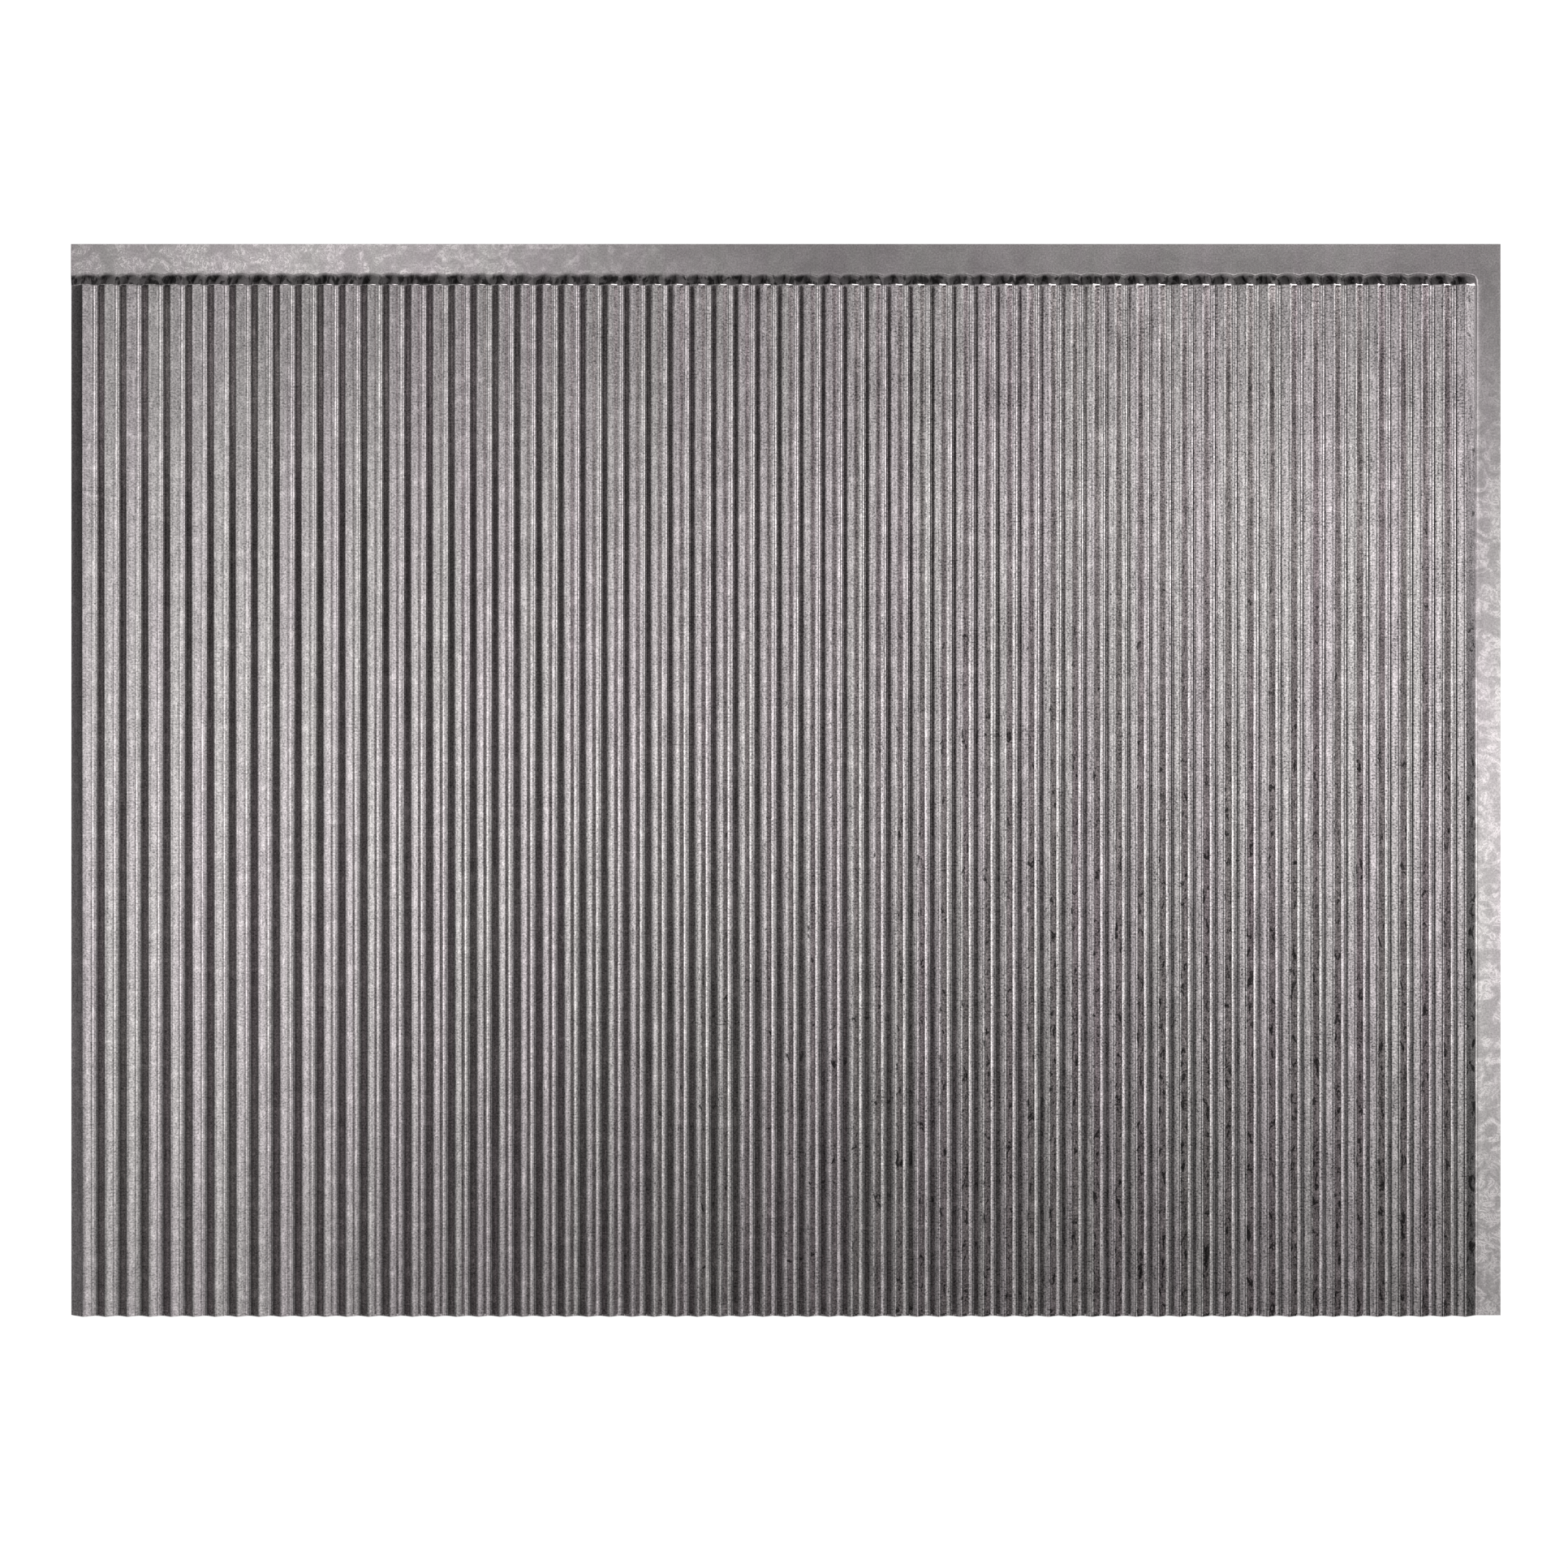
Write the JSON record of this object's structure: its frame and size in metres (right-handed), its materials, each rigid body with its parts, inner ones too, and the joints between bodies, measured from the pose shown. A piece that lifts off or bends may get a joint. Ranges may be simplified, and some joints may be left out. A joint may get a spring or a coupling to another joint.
{
  "type": "aluminum composite wall panel",
  "caption": "Thin formed wall panel with close vertical ribs closed at the head, flat laps along the head and right edges, and a mottled galvanised-look finish.",
  "frame": {"origin": "centre of the panel's outline, on the wall plane under the laps", "axes": "+X across the ribs, towards the side lap; +Y along the ribs, towards the head lap; +Z out of the ribbed face"},
  "size_m": [0.6224, 0.4664, 0.0055],
  "materials": {
    "panel_finish": "satin, mottled galvanised look"
  },
  "bodies": {
    "root": {"panel_sheet": "panel_finish"}
  },
  "joints": []
}
